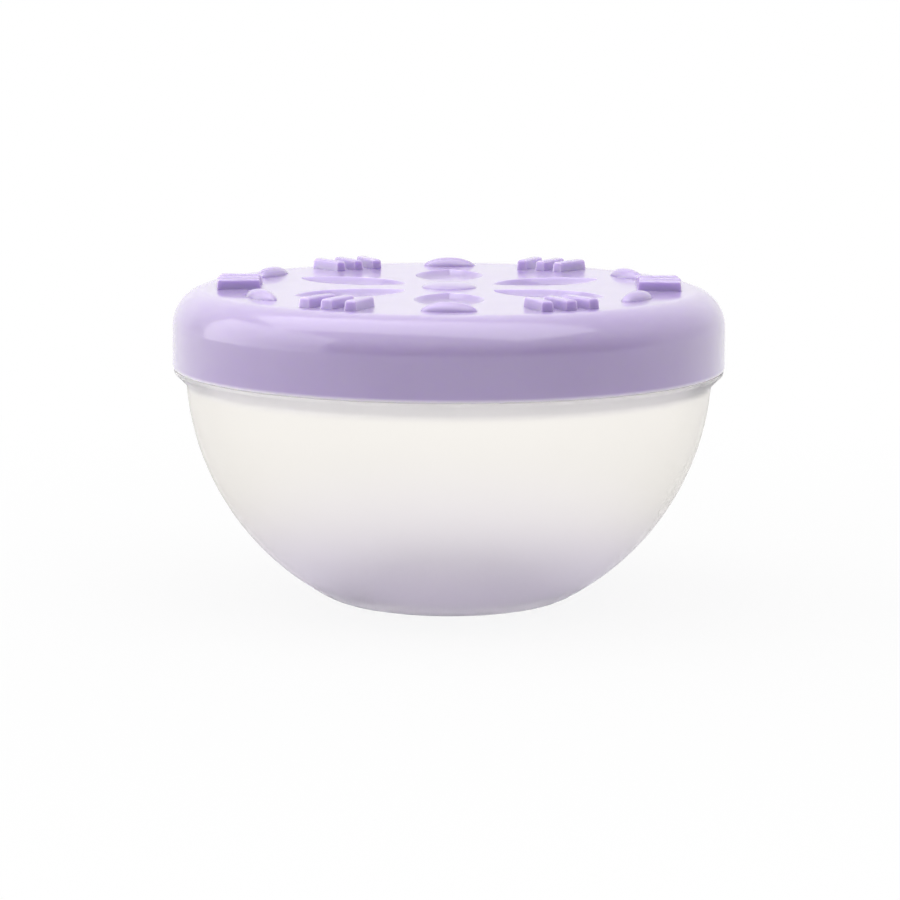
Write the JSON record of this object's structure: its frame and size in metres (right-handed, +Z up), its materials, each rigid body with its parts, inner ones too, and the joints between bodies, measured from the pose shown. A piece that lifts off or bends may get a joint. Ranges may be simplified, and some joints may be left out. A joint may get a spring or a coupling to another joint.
{
  "type": "airtight container",
  "caption": "Round airtight food container: translucent bowl on a small flat foot, closed by a screw-on lavender cap with a rounded shoulder and a silicone seal ring.",
  "frame": {"origin": "middle of the foot ring, on the surface that the bowl stands on", "axes": "+Z up along the container's axis, +X to the right and -Y towards the viewer of the picture"},
  "size_m": [0.12, 0.12, 0.0705],
  "materials": {
    "bowl_plastic": "milky translucent polypropylene, satin",
    "lid_plastic": "lavender polypropylene, gloss",
    "seal_silicone": "frosted silicone, matt"
  },
  "bodies": {
    "bowl": {"bowl": "bowl_plastic"},
    "seal_ring": {"seal_ring": "seal_silicone"},
    "lid": {"lid": "lid_plastic"}
  },
  "joints": [
    {"name": "lid_lift", "type": "slide", "parent": "bowl", "child": "seal_ring", "axis": [0, 0, 1], "range_m": [0, 0.0226]},
    {"name": "lid_turn", "type": "hinge", "parent": "seal_ring", "child": "lid", "pos_m": [0, 0, 0.051], "axis": [0, 0, 1], "range_deg": [0, 540]}
  ],
  "couplings": [
    {"joint": "lid_lift", "follows": "lid_turn", "m_per_rad": 0.0023873}
  ]
}
